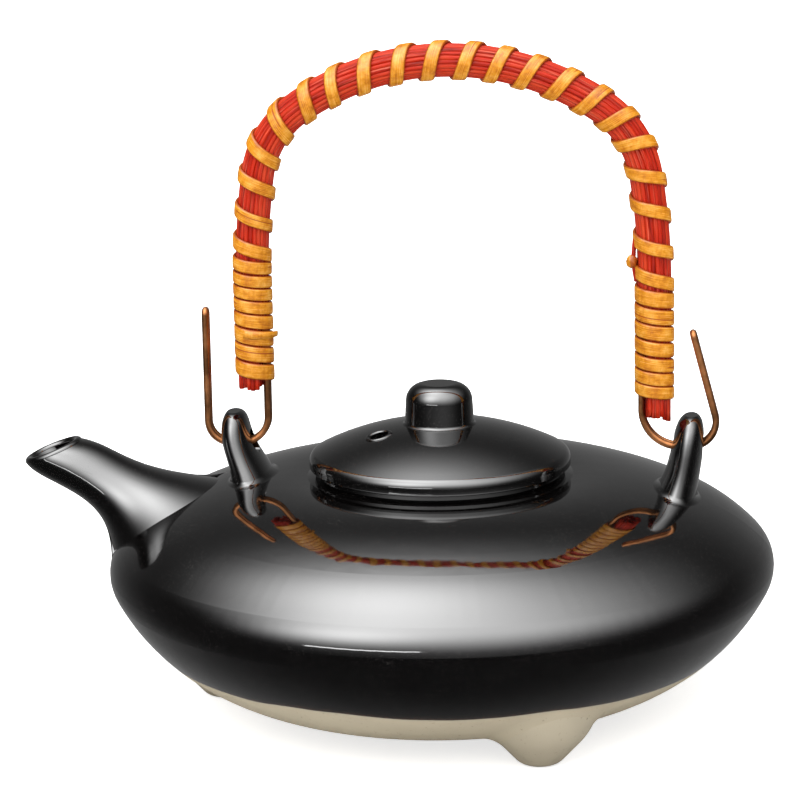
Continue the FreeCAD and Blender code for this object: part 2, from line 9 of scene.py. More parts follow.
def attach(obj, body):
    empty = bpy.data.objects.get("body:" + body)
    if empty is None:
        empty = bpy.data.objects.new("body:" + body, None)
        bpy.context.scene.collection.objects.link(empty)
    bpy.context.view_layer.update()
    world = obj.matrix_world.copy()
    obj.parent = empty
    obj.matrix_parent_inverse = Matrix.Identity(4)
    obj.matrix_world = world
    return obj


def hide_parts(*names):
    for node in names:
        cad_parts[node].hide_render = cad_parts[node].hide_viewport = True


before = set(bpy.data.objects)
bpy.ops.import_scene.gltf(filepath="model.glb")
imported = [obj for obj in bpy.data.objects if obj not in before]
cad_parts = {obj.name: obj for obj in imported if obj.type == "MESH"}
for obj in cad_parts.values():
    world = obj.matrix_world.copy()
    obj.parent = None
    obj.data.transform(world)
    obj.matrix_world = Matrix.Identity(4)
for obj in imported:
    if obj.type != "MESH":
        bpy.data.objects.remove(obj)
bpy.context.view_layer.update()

bl_info = {
    "name": "Bail teapot looks",
    "version": (1, 0, 0),
    "blender": (4, 5, 0),
    "location": "View3D > Sidebar > Teapot",
    "description": "Glaze, cane, rattan and studio for a teapot with a swinging bail",
    "category": "Object",
}

MM = 0.001
ACROSS = Vector((0, 1, 0))


# Sizes and colours

class TeapotSizes(bpy.types.PropertyGroup):
    """Sizes of the looks. Those of the bail, spout and steam hole are as in the CAD model."""
    bail_middle: bpy.props.FloatProperty(
        name="Bail middle", default=3.5,
        description="Where the bail's middle stands along X, in millimetres")
    bail_half: bpy.props.FloatProperty(
        name="Half the bail's width", default=47.9,
        description="From the bail's middle to a leg, in millimetres")
    bail_lean: bpy.props.FloatProperty(
        name="Radius of the leaning legs", default=160.0,
        description="Radius on which a leg leans in, in millimetres")
    lean_z: bpy.props.FloatProperty(
        name="Height where the legs begin to lean", default=104.0,
        description="Top of the straight legs, in millimetres")
    lean_turn: bpy.props.FloatProperty(
        name="Lean of the legs", default=math.radians(9.0), subtype="ANGLE",
        description="How far a leg leans where the corner begins")
    bail_corner: bpy.props.FloatProperty(
        name="Corner radius", default=24.0,
        description="Radius of the centre line's corners, in millimetres")
    bail_top: bpy.props.FloatProperty(
        name="Top of the centre line", default=156.1,
        description="Height of the crown's middle, in millimetres")
    bail_left_end: bpy.props.FloatProperty(
        name="Left end of the canes", default=77.0,
        description="Height of the spout side's cut end, in millimetres")
    bail_right_end: bpy.props.FloatProperty(
        name="Right end of the canes", default=70.0,
        description="Height of the other cut end, in millimetres")
    reed_radius: bpy.props.FloatProperty(
        name="Reed radius", default=0.60,
        description="Half the thickness of an outer reed, in millimetres")
    reed_circle: bpy.props.FloatProperty(
        name="Circle of the outer reeds", default=3.38,
        description="From the centre line to a reed's, in millimetres")
    reed_count: bpy.props.IntProperty(
        name="Outer reeds", default=22,
        description="How many reeds show round the bundle")
    strip_inner: bpy.props.FloatProperty(
        name="Strip inner radius", default=4.02,
        description="Underside of the wound strip, in millimetres")
    strip_thick: bpy.props.FloatProperty(
        name="Strip thickness", default=0.72,
        description="Thickness at the strip's crown, in millimetres")
    strip_wide: bpy.props.FloatProperty(
        name="Strip width", default=3.25,
        description="Width of the open spiral's strip, in millimetres")
    binding_wide: bpy.props.FloatProperty(
        name="Strip width in the bindings", default=3.9,
        description="Greatest width in a binding, in millimetres")
    knot_radius: bpy.props.FloatProperty(
        name="Knot radius", default=1.3,
        description="Half the knot's width, in millimetres")
    hook_tuck: bpy.props.FloatProperty(
        name="Upper end of the tucked wire", default=92.0,
        description="Height the wire reaches in, in millimetres")
    glaze_line: bpy.props.FloatProperty(
        name="Height of the glaze edge", default=17.2,
        description="Where the glaze stops over the base, in millimetres")
    lip_x: bpy.props.FloatProperty(
        name="Mouth of the spout, along", default=-94.5,
        description="Middle of the mouth along X, in millimetres")
    lip_z: bpy.props.FloatProperty(
        name="Mouth of the spout, height", default=61.2,
        description="Height of the mouth's middle, in millimetres")
    lip_tilt: bpy.props.FloatProperty(
        name="Tilt of the mouth", default=math.radians(-20.7), subtype="ANGLE",
        description="How far the mouth tips from level")
    steam_radius: bpy.props.FloatProperty(
        name="Steam hole radius", default=2.2,
        description="Half the steam hole's width, in millimetres")
    steam_reach: bpy.props.FloatProperty(
        name="Steam hole from the axis", default=15.9,
        description="From the lid's axis to the hole, in millimetres")
    steam_turn: bpy.props.FloatProperty(
        name="Steam hole's place", default=math.radians(211.0), subtype="ANGLE",
        description="Where the hole stands round the lid")


class TeapotColours(bpy.types.PropertyGroup):
    """Colours of the finishes and the floor."""
    glaze: bpy.props.FloatVectorProperty(
        name="Glaze", subtype="COLOR", default=(0.0012, 0.001, 0.001),
        description="Black of the glaze")
    speckle: bpy.props.FloatVectorProperty(
        name="Speckle", subtype="COLOR", default=(0.045, 0.042, 0.04),
        description="Fine pale specks in the glaze")
    clay: bpy.props.FloatVectorProperty(
        name="Clay", subtype="COLOR", default=(0.42, 0.368, 0.272),
        description="Bare fired clay of the base and feet")
    cane: bpy.props.FloatVectorProperty(
        name="Dyed cane", subtype="COLOR", default=(0.44, 0.013, 0.001),
        description="Red of the dyed reeds")
    cane_dark: bpy.props.FloatVectorProperty(
        name="Dyed cane, dark", subtype="COLOR", default=(0.18, 0.0035, 0.0006),
        description="Deep red between the streaks")
    # Pale streak colour: a painted highlight for the sheen along the reeds, not wear.
    cane_painted_highlight: bpy.props.FloatVectorProperty(
        name="Dyed cane, worn", subtype="COLOR", default=(0.80, 0.20, 0.11),
        description="Worn streaks along the reeds")
    rattan: bpy.props.FloatVectorProperty(
        name="Rattan", subtype="COLOR", default=(0.64, 0.245, 0.010),
        description="Golden skin of the strip")
    rattan_pale: bpy.props.FloatVectorProperty(
        name="Rattan, pale", subtype="COLOR", default=(0.80, 0.42, 0.075),
        description="Pale patches of the strip")
    # Dark colour for painted shade along the strip's edges and underside, where the turns meet and lie on
    # the cane, and for its real splits.
    rattan_edge_shade_and_split: bpy.props.FloatVectorProperty(
        name="Rattan edge", subtype="COLOR", default=(0.30, 0.042, 0.005),
        description="Cut edges and splits of the strip")
    wire: bpy.props.FloatVectorProperty(
        name="Copper wire", subtype="COLOR", default=(0.60, 0.25, 0.10),
        description="Copper of the hooks")
    floor: bpy.props.FloatVectorProperty(
        name="Floor", subtype="COLOR", default=(0.86, 0.86, 0.86),
        description="Floor under the pot")


def rgba(colour):
    """A colour as a socket takes it, fully opaque."""
    return (colour[0], colour[1], colour[2], 1.0)


# Node helpers

class Nodes:
    """A short way to lay out one material's nodes."""

    def __init__(self, name):
        self.material = bpy.data.materials.new(name)
        self.material.use_nodes = True
        self.tree = self.material.node_tree
        self.shader = self.tree.nodes["Principled BSDF"]

    def add(self, kind, **values):
        """A new node with some of its settings."""
        node = self.tree.nodes.new(kind)
        for key, value in values.items():
            setattr(node, key, value)
        return node

    def link(self, source, target):
        """Joins an output to an input."""
        self.tree.links.new(source, target)

    def set(self, name, value):
        """Sets a value on the material's shader."""
        self.shader.inputs[name].default_value = value

    def math(self, operation, left, right):
        """One sum; either side may be a number or a socket."""
        node = self.add("ShaderNodeMath", operation=operation)
        for socket, value in zip(node.inputs, (left, right)):
            if isinstance(value, (int, float)):
                socket.default_value = value
            else:
                self.link(value, socket)
        return node.outputs[0]

    def noise(self, vector, scale, detail, rough=0.55):
        """Noise between 0 and 1, about a half."""
        node = self.add("ShaderNodeTexNoise")
        node.inputs["Scale"].default_value = scale
        node.inputs["Detail"].default_value = detail
        node.inputs["Roughness"].default_value = rough
        self.link(vector, node.inputs["Vector"])
        return node.outputs["Fac"]

    def ramp(self, factor, stops):
        """stops: (position, colour or grey) pairs."""
        node = self.add("ShaderNodeValToRGB")
        band = node.color_ramp
        while len(band.elements) < len(stops):
            band.elements.new(0.5)
        for element, (place, tone) in zip(band.elements, stops):
            element.position = place
            if isinstance(tone, (int, float)):
                tone = (tone, tone, tone)
            element.color = rgba(tone)
        self.link(factor, node.inputs["Fac"])
        return node.outputs["Color"]

    def span(self, factor, low_in, high_in, low, high):
        """Maps low_in to high_in onto low to high and holds the ends."""
        node = self.add("ShaderNodeMapRange")
        node.inputs["From Min"].default_value = low_in
        node.inputs["From Max"].default_value = high_in
        node.inputs["To Min"].default_value = low
        node.inputs["To Max"].default_value = high
        self.link(factor, node.inputs["Value"])
        return node.outputs["Result"]

    def mix(self, factor, first, second):
        """Colour between first and second; either may be a colour or a socket."""
        node = self.add("ShaderNodeMix", data_type="RGBA")
        sockets = [s for s in node.inputs if s.type == "RGBA"]
        self.link(factor, node.inputs[0])
        for socket, value in zip(sockets, (first, second)):
            if hasattr(value, "is_output"):
                self.link(value, socket)
            else:
                socket.default_value = rgba(value)
        return [s for s in node.outputs if s.type == "RGBA"][0]

    def bump(self, height, strength, distance):
        """Relief of the material's surface, its distance in metres."""
        node = self.add("ShaderNodeBump")
        node.inputs["Strength"].default_value = strength
        node.inputs["Distance"].default_value = distance
        self.link(height, node.inputs["Height"])
        self.link(node.outputs["Normal"], self.shader.inputs["Normal"])

    def place(self):
        """Object coordinates, in metres."""
        return self.add("ShaderNodeTexCoord").outputs["Object"]

    def stretch(self, vector, along, over, shift=None):
        """UVs scaled along and across a strand, and shifted where a shift is given."""
        node = self.add("ShaderNodeMapping")
        self.link(vector, node.inputs["Vector"])
        node.inputs["Scale"].default_value = (along, over, 1.0)
        if shift is not None:
            self.link(shift, node.inputs["Location"])
        return node.outputs["Vector"]


CLAY_ROUGH = 0.86
CLAY_RELIEF = 0.0002
FINE_RELIEF = 0.0001
GLAZE_IOR = 1.8
# Half the width over which the glaze stops, the width of its thin brown edge and how far its line wanders
GLAZE_STOP = 0.00015
GLAZE_THIN = 0.0012
GLAZE_WANDER = 0.0007
GLAZE_BROWN = (0.045, 0.022, 0.012)


def sandy_clay(n, where, colours, patch_scale):
    """Colour of bare clay, with darker patches and grains of sand, and the grain itself."""
    grain = n.noise(where, scale=900, detail=5.0, rough=0.7)
    patch = n.span(n.noise(where, scale=patch_scale, detail=3.0), 0.3, 0.7, 0.0, 0.55)
    sand = n.mix(patch, colours.clay, [c * 0.80 for c in colours.clay])
    sand = n.mix(n.ramp(grain, [(0.62, 0.0), (0.72, 1.0)]), sand, [c * 0.45 for c in colours.clay])
    return sand, grain


def glaze_material(sizes, colours):
    """Black mirror glaze with fine pale specks; under the glaze line the bare clay shows."""
    n = Nodes("black_glaze")
    where = n.place()
    specks = n.ramp(n.noise(where, scale=2600, detail=2.0, rough=0.6), [(0.60, 0.0), (0.72, 1.0)])
    cloud = n.ramp(n.noise(where, scale=90, detail=4.0), [(0.40, 0.15), (0.70, 1.0)])
    veil = n.math("MULTIPLY", specks, cloud)
    black = n.mix(veil, colours.glaze, colours.speckle)
    sand, grain = sandy_clay(n, where, colours, 38)
    apart = n.add("ShaderNodeSeparateXYZ")
    n.link(where, apart.inputs[0])
    wave = n.span(n.noise(where, scale=26, detail=2.0), 0.3, 0.7, -GLAZE_WANDER, GLAZE_WANDER)
    height = n.math("ADD", apart.outputs["Z"], wave)
    line = sizes.glaze_line * MM
    glazed = n.span(height, line - GLAZE_STOP, line + GLAZE_STOP, 0.0, 1.0)
    thin = n.span(height, line, line + GLAZE_THIN, 1.0, 0.0)
    edge = n.math("MULTIPLY", thin, glazed)
    black = n.mix(n.math("MULTIPLY", edge, 0.7), black, GLAZE_BROWN)
    n.link(n.mix(glazed, sand, black), n.shader.inputs["Base Color"])
    polish = n.span(n.noise(where, scale=60, detail=3.0), 0.3, 0.7, 0.035, 0.075)
    rough = n.add("ShaderNodeMix", data_type="FLOAT")
    n.link(glazed, rough.inputs[0])
    rough.inputs[2].default_value = CLAY_ROUGH
    n.link(polish, rough.inputs[3])
    n.link(rough.outputs[0], n.shader.inputs["Roughness"])
    n.set("IOR", GLAZE_IOR)
    n.link(n.span(glazed, 0.0, 1.0, 0.05, 1.0), n.shader.inputs["Specular IOR Level"])
    dry = n.math("SUBTRACT", 1.0, glazed)
    tooth = n.math("MULTIPLY", grain, dry)
    peel = n.math("MULTIPLY", n.noise(where, scale=240, detail=2.0), 0.05)
    swell = n.math("MULTIPLY", n.noise(where, scale=26, detail=1.0), 0.5)
    peel = n.math("ADD", peel, swell)
    lip = n.math("MULTIPLY", glazed, 1.2)
    relief = n.math("ADD", n.math("ADD", tooth, peel), lip)
    n.bump(relief, strength=0.35, distance=CLAY_RELIEF)
    return n.material


def clay_material(colours):
    """Bare fired clay, dull and sandy."""
    n = Nodes("bare_clay")
    sand, grain = sandy_clay(n, n.place(), colours, 45)
    n.link(sand, n.shader.inputs["Base Color"])
    n.set("Roughness", CLAY_ROUGH)
    n.bump(grain, strength=0.35, distance=CLAY_RELIEF)
    return n.material


CANE_BRIGHT = (0.56, 0.05, 0.012)
# How far apart the streaks of two reeds are taken from the noise
CANE_APART = 40.0


def cane_material(colours):
    """Dyed cane: streaks along each reed and pale lines of painted highlight, with a tone of its own for
    each reed.
    """
    n = Nodes("dyed_cane")
    along = n.add("ShaderNodeUVMap").outputs["UV"]
    tone = n.add("ShaderNodeAttribute", attribute_name="tone").outputs["Fac"]
    apart = n.add("ShaderNodeCombineXYZ")
    n.link(n.math("MULTIPLY", tone, CANE_APART), apart.inputs["Z"])
    shift = apart.outputs["Vector"]
    streak = n.noise(n.stretch(along, 3.0, 0.9, shift), scale=5.0, detail=4.0, rough=0.65)
    shade = n.math("ADD", n.math("MULTIPLY", streak, 0.75), n.math("MULTIPLY", tone, 0.45))
    colour = n.ramp(shade, [(0.25, [c * 0.75 for c in colours.cane_dark]), (0.54, colours.cane),
                            (0.84, CANE_BRIGHT)])
    # Painted highlight: fine pale streaks, mixed half over the red, stand in for the sheen along the
    # reeds.
    fine = n.noise(n.stretch(along, 2.0, 2.4, shift), scale=4.0, detail=3.0, rough=0.6)
    pale = n.ramp(fine, [(0.56, 0.0), (0.70, 1.0)])
    colour = n.mix(n.math("MULTIPLY", pale, 0.5), colour, colours.cane_painted_highlight)
    n.link(colour, n.shader.inputs["Base Color"])
    n.link(n.span(streak, 0.2, 0.8, 0.30, 0.48), n.shader.inputs["Roughness"])
    n.set("Specular IOR Level", 0.22)
    n.bump(streak, strength=0.35, distance=FINE_RELIEF)
    return n.material


def rattan_material(colours):
    """Split rattan: glossy skin, fine ticks across it, edges and underside darkened as painted shade, and
    a split here and there.
    """
    n = Nodes("split_rattan")
    along = n.add("ShaderNodeUVMap").outputs["UV"]

    def streaks(far, over, scale, detail):
        """Noise drawn out along or across the strip."""
        return n.noise(n.stretch(along, far, over), scale, detail, rough=0.6)

    fibre = streaks(5.0, 7.0, 3.0, 3.0)
    tick = n.ramp(streaks(48.0, 0.5, 4.0, 3.0), [(0.50, 0.0), (0.64, 1.0)])
    patch = streaks(12.0, 0.6, 3.0, 3.0)
    shade = n.math("ADD", n.math("MULTIPLY", fibre, 0.5), n.math("MULTIPLY", patch, 0.7))
    deep = [c * k for c, k in zip(colours.rattan, (0.58, 0.38, 0.30))]
    colour = n.ramp(shade, [(0.42, deep), (0.60, colours.rattan), (0.80, colours.rattan_pale)])
    colour = n.mix(n.math("MULTIPLY", tick, 0.25), colour, deep)
    apart = n.add("ShaderNodeSeparateXYZ")
    n.link(along, apart.inputs[0])
    over = apart.outputs["Y"]
    # Painted shade: the strip is darkened along both edges of its face and all over its underside, where
    # turns meet and press on the cane; the split line is a real mark.
    edge = n.ramp(over, [(0.02, 1.0), (0.07, 0.0), (0.68, 0.0), (0.73, 1.0)])
    split = n.ramp(over, [(0.42, 0.0), (0.44, 1.0), (0.48, 1.0), (0.50, 0.0)])
    some = n.ramp(streaks(1.6, 0.0, 3.0, 1.0), [(0.55, 0.0), (0.58, 1.0)])
    dark = n.math("MAXIMUM", edge, n.math("MULTIPLY", split, some))
    colour = n.mix(n.math("MULTIPLY", dark, 0.85), colour, colours.rattan_edge_shade_and_split)
    n.link(colour, n.shader.inputs["Base Color"])
    n.link(n.span(fibre, 0.2, 0.8, 0.16, 0.32), n.shader.inputs["Roughness"])
    n.set("Specular IOR Level", 0.55)
    relief = n.math("SUBTRACT", n.math("MULTIPLY", fibre, 0.4), n.math("MULTIPLY", tick, 0.35))
    n.bump(n.math("SUBTRACT", relief, dark), strength=0.3, distance=FINE_RELIEF)
    return n.material


def wire_material(colours):
    """Copper wire with patches of tarnish."""
    n = Nodes("copper_wire")
    where = n.place()
    tarnish = n.noise(where, scale=160, detail=4.0, rough=0.6)
    colour = n.ramp(tarnish, [(0.35, [c * 0.55 for c in colours.wire]), (0.55, colours.wire),
                              (0.80, [min(1.0, c * 1.7) for c in colours.wire])])
    n.link(colour, n.shader.inputs["Base Color"])
    n.set("Metallic", 1.0)
    n.link(n.span(tarnish, 0.3, 0.7, 0.34, 0.50), n.shader.inputs["Roughness"])
    n.bump(n.noise(where, scale=1400, detail=2.0), strength=0.1, distance=FINE_RELIEF)
    return n.material


def paint(node_name, material):
    """Gives a carried-over CAD node its material and smooth shading."""
    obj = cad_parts[node_name]
    obj.data.materials.clear()
    obj.data.materials.append(material)
    obj.data.polygons.foreach_set("use_smooth", [True] * len(obj.data.polygons))
    obj.data.update()


# The bail's line

def bail_line(sizes):
    """The bail's centre line: two straight ends, and arcs as length, radius, centre and starting angle."""
    lean_end = sizes.lean_turn
    lean_x = sizes.bail_half - sizes.bail_lean
    corner_x = lean_x + (sizes.bail_lean - sizes.bail_corner) * math.cos(lean_end)
    corner_z = sizes.lean_z + (sizes.bail_lean - sizes.bail_corner) * math.sin(lean_end)
    rise = sizes.bail_top - corner_z
    crown = (rise ** 2 + corner_x ** 2 - sizes.bail_corner ** 2) / (2 * (rise - sizes.bail_corner))
    corner_end = math.acos(corner_x / (crown - sizes.bail_corner))
    corner_run = sizes.bail_corner * (corner_end - lean_end)
    lean_run = sizes.bail_lean * lean_end
    return {
        "left": sizes.lean_z - sizes.bail_left_end,
        "right": sizes.lean_z - sizes.bail_right_end,
        "arcs": (
            (lean_run, sizes.bail_lean, -lean_x, sizes.lean_z, 0.0),
            (corner_run, sizes.bail_corner, -corner_x, corner_z, lean_end),
            (crown * (math.pi - 2 * corner_end), crown, 0.0, sizes.bail_top - crown, corner_end),
            (corner_run, sizes.bail_corner, corner_x, corner_z, math.pi - corner_end),
            (lean_run, sizes.bail_lean, lean_x, sizes.lean_z, math.pi - lean_end),
        ),
    }


def bail_place(sizes, line, run):
    """Centre line point and outward direction at a distance from the left end, in millimetres."""
    if run <= line["left"]:
        place = Vector((sizes.bail_middle - sizes.bail_half, 0, sizes.bail_left_end + run))
        return place, Vector((-1, 0, 0))
    run -= line["left"]
    for length, radius, offset, height, start in line["arcs"]:
        if run <= length:
            angle = start + run / radius
            outward = Vector((-math.cos(angle), 0, math.sin(angle)))
            return Vector((sizes.bail_middle + offset, 0, height)) + outward * radius, outward
        run -= length
    return Vector((sizes.bail_middle + sizes.bail_half, 0, sizes.lean_z - run)), Vector((1, 0, 0))


def bail_length(line):
    """Length of the centre line from end to end, in millimetres."""
    return line["left"] + sum(arc[0] for arc in line["arcs"]) + line["right"]


# Meshes

class Mesh:
    """Collects points in millimetres, faces, UVs and tones for one object."""

    def __init__(self):
        self.points = []
        self.faces = []
        self.uvs = []
        self.tones = []

    def build(self, name, material):
        """The object made of what was collected, in metres and smooth."""
        data = bpy.data.meshes.new(name)
        data.from_pydata([tuple(p * MM) for p in self.points], [], self.faces)
        if self.uvs:
            layer = data.uv_layers.new(name="UVMap")
            flat = [value for face in self.uvs for uv in face for value in uv]
            layer.data.foreach_set("uv", flat)
        if self.tones:
            tone = data.attributes.new("tone", "FLOAT", "POINT")
            tone.data.foreach_set("value", self.tones)
        data.polygons.foreach_set("use_smooth", [True] * len(data.polygons))
        data.materials.append(material)
        data.validate()
        data.update()
        obj = bpy.data.objects.new(name, data)
        bpy.context.scene.collection.objects.link(obj)
        return obj


# Millimetres of strand to one unit of its UVs
UV_LENGTH = 100.0


def sweep_rings(mesh, rings, lengths, tone):
    """Skins a row of closed rings, with UVs along and round, and closes both ends."""
    base = len(mesh.points)
    count = len(rings[0])
    for ring in rings:
        mesh.points += ring
        mesh.tones += [tone] * count
    for index in range(len(rings) - 1):
        for k in range(count):
            after = (k + 1) % count
            here = base + index * count
            ahead = here + count
            mesh.faces.append((here + k, here + after, ahead + after, ahead + k))
            u0 = lengths[index] / UV_LENGTH
            u1 = lengths[index + 1] / UV_LENGTH
            v0 = k / count
            v1 = (k + 1) / count
            mesh.uvs.append(((u0, v0), (u0, v1), (u1, v1), (u1, v0)))
    first = [base + k for k in range(count)]
    last = [base + (len(rings) - 1) * count + k for k in range(count)]
    mesh.faces.append(tuple(reversed(first)))
    mesh.uvs.append(tuple((0.0, 0.0) for _ in first))
    mesh.faces.append(tuple(last))
    mesh.uvs.append(tuple((0.0, 0.0) for _ in last))


def join_rows(mesh, count, steps):
    """Joins a closed round of point rows, each of the same number of steps, into a band."""
    for index in range(count):
        after = (index + 1) % count
        for step in range(steps - 1):
            mesh.faces.append((index * steps + step, after * steps + step,
                               after * steps + step + 1, index * steps + step + 1))


STRAND_SIDES = 8


def ring_round(centre, outward, radius):
    """A circle of points square to the bail's line."""
    ring = []
    for k in range(STRAND_SIDES):
        turn = 2 * math.pi * k / STRAND_SIDES
        ring.append(centre + outward * math.cos(turn) * radius + ACROSS * math.sin(turn) * radius)
    return ring


REED_STEPS = 120
REED_DRIFT = 0.05
REED_SWELL = 0.05


def reed(mesh, sizes, line, out, across, start, end, radius, rng):
    """One thin reed of the bundle, which wanders and swells a little along its way."""
    sway = rng.uniform(0, 6.28)
    pace = rng.uniform(0.05, 0.11)
    rings = []
    lengths = []
    for index in range(REED_STEPS + 1):
        run = start + (end - start) * index / REED_STEPS
        place, outward = bail_place(sizes, line, run)
        drift = REED_DRIFT * math.sin(sway + pace * run)
        fat = radius * (1 + REED_SWELL * math.sin(sway * 2 + run * pace * 2.3))
        centre = place + outward * (out + drift) + ACROSS * across
        rings.append(ring_round(centre, outward, fat))
        lengths.append(run)
    sweep_rings(mesh, rings, lengths, rng.random())


FRONT = 1.5 * math.pi
TURN_STEPS = 40
# Turns that the strip runs on past its first and last mark, and the turns looked ahead for its direction
STRIP_LEAD = 0.35
STRIP_AHEAD = 0.02
# Points across the strip's face on each side of its middle, how much it is crowned and its edges rounded
STRIP_HALF = 6
STRIP_CROWN = 0.06
STRIP_ROUND = 0.34


def strip(mesh, sizes, line, marks, widths, rng):
    """A flat crowned strip wound once per mark; a mark is where the front of a turn crosses the bail."""
    turns = len(marks) - 1
    first = -STRIP_LEAD
    last = turns + STRIP_LEAD
    total = int((last - first) * TURN_STEPS)
    rings = []
    lengths = []
    length = 0.0
    before = None
    for index in range(total + 1):
        t = first + (last - first) * index / total
        k = min(max(int(math.floor(t)), 0), turns - 1)
        run = marks[k] + (marks[k + 1] - marks[k]) * (t - k)
        wide = widths[k] + (widths[min(k + 1, turns)] - widths[k]) * min(max(t - k, 0.0), 1.0)
        ahead_run = run + STRIP_AHEAD * (marks[k + 1] - marks[k])
        turn = FRONT + 2 * math.pi * t
        place, outward = bail_place(sizes, line, run)
        ahead_place, ahead_outward = bail_place(sizes, line, ahead_run)
        ahead_turn = turn + 2 * math.pi * STRIP_AHEAD
        radial = outward * math.cos(turn) + ACROSS * math.sin(turn)
        ahead_radial = ahead_outward * math.cos(ahead_turn) + ACROSS * math.sin(ahead_turn)
        way = (ahead_place + ahead_radial * sizes.strip_inner) - (place + radial * sizes.strip_inner)
        side = way.cross(radial).normalized()
        ring = []
        here = place + radial * sizes.strip_inner
        for step in range(2 * STRIP_HALF + 1):
            spread = step / STRIP_HALF - 1.0
            lift = sizes.strip_thick * (1.0 - STRIP_CROWN * spread ** 2 - STRIP_ROUND * spread ** 10)
            ring.append(place + radial * (sizes.strip_inner + lift) + side * (wide * 0.5 * spread))
        for spread in (1.0, 0.0, -1.0):
            ring.append(here + side * (wide * 0.5 * spread))
        if before is not None:
            length += (here - before).length
        before = here
        rings.append(ring)
        lengths.append(length)
    sweep_rings(mesh, rings, lengths, rng.random())


def on_bundle(sizes, line, run, turn, reach):
    """A point beside the bundle: turn 0 is outward, half a turn inward, three quarters to the front."""
    place, outward = bail_place(sizes, line, run)
    return place + (outward * math.cos(turn) + ACROSS * math.sin(turn)) * reach


KNOT_ROWS = 11
KNOT_SIDES = 18
KNOT_TALL = 1.25


def knot(mesh, centre, sizes, rng):
    """A small lumpy knot of strip."""
    rings = []
    lengths = []
    for index in range(KNOT_ROWS):
        tilt = math.pi * (index + 0.5) / KNOT_ROWS - math.pi / 2
        rise = sizes.knot_radius * KNOT_TALL * math.sin(tilt)
        ring = []
        for k in range(KNOT_SIDES):
            turn = 2 * math.pi * k / KNOT_SIDES
            lump = 1 + 0.15 * math.sin(3 * turn + 4 * tilt) + 0.08 * math.sin(5 * turn - 6 * tilt)
            flat = sizes.knot_radius * lump * math.cos(tilt)
            ring.append(centre + Vector((flat * math.cos(turn), flat * math.sin(turn), rise)))
        rings.append(ring)
        lengths.append(rise)
    sweep_rings(mesh, rings, lengths, rng.random())


LOOSE_STEPS = 22
LOOSE_LENGTH = 15.0
LOOSE_WIDE = 1.9
# Half turns round the bundle where the loose end starts and that it covers, its curl and its slant
LOOSE_START = 1.62
LOOSE_COVER = 0.66
LOOSE_CURL = 0.75
LOOSE_SLANT = 0.7


def loose_end(mesh, sizes, line, run, rng):
    """The end of the strip, which lies over the binding and curls away from it."""
    rings = []
    lengths = []
    for index in range(LOOSE_STEPS + 1):
        t = index / LOOSE_STEPS
        turn = math.pi * (LOOSE_START - LOOSE_COVER * t)
        reach = sizes.strip_inner + sizes.strip_thick - 0.1 + LOOSE_CURL * t ** 5
        half = 0.5 * LOOSE_WIDE * (1 - 0.35 * t ** 2)
        drop = run - LOOSE_SLANT * t
        ring = []
        for over, lift in ((-half, 0.0), (-half, 0.32), (0.0, 0.42), (half, 0.32), (half, 0.0)):
            ring.append(on_bundle(sizes, line, drop + over, turn, reach + lift))
        rings.append(ring)
        lengths.append(LOOSE_LENGTH * t)
    sweep_rings(mesh, rings, lengths, rng.random())


CORD_STEPS = 16
CORD_RADIUS = 0.55
CORD_LIFT = 0.3
CORD_BOW = 0.6


def tied_cord(mesh, sizes, line, start, end, turn, rng):
    """A thin cord that runs beside the bundle between two turns of the strip."""
    rings = []
    lengths = []
    for index in range(CORD_STEPS + 1):
        t = index / CORD_STEPS
        run = start + (end - start) * t
        reach = sizes.strip_inner + CORD_LIFT + CORD_BOW * math.sin(math.pi * t)
        centre = on_bundle(sizes, line, run, turn, reach)
        outward = bail_place(sizes, line, run)[1]
        rings.append(ring_round(centre, outward, CORD_RADIUS))
        lengths.append(run)
    sweep_rings(mesh, rings, lengths, rng.random())


def tree_of(*names):
    """Points of some CAD nodes and one search tree over their faces."""
    points = []
    faces = []
    for name in names:
        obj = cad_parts[name]
        base = len(points)
        points += [obj.matrix_world @ vertex.co for vertex in obj.data.vertices]
        faces += [tuple(base + k for k in face.vertices) for face in obj.data.polygons]
    return points, BVHTree.FromPolygons(points, faces)


def hull(points):
    """Convex outline of flat points, anticlockwise."""
    ordered = sorted(set(points))

    def chain(row):
        """One side of the outline."""
        out = []
        for q in row:
            while len(out) > 1:
                (ax, ay), (bx, by) = out[-2], out[-1]
                if (bx - ax) * (q[1] - ay) - (by - ay) * (q[0] - ax) > 0:
                    break
                out.pop()
            out.append(q)
        return out[:-1]
    return chain(ordered) + chain(reversed(ordered))


def reach_along(outline, turn):
    """Distance from the origin to the outline in one direction."""
    dx = math.cos(turn)
    dy = math.sin(turn)
    for index, (ax, ay) in enumerate(outline):
        bx, by = outline[(index + 1) % len(outline)]
        cross = dx * (by - ay) - dy * (bx - ax)
        if abs(cross) < 1e-15:
            continue
        reach = (ax * (by - ay) - ay * (bx - ax)) / cross
        share = (ax * dy - ay * dx) / cross
        if reach > 0 and -1e-6 <= share <= 1 + 1e-6:
            return reach
    return max(math.hypot(*corner) for corner in outline)


FILLET_COUNT = 144
FILLET_STEPS = 10
# In metres: what counts as touching, how far a fillet's edges sink in, and the search for the piece's side
SEAM_TOUCH = 0.00006
FILLET_SINK = 0.00004
SIDE_START = 0.012
SIDE_REACH = 0.04


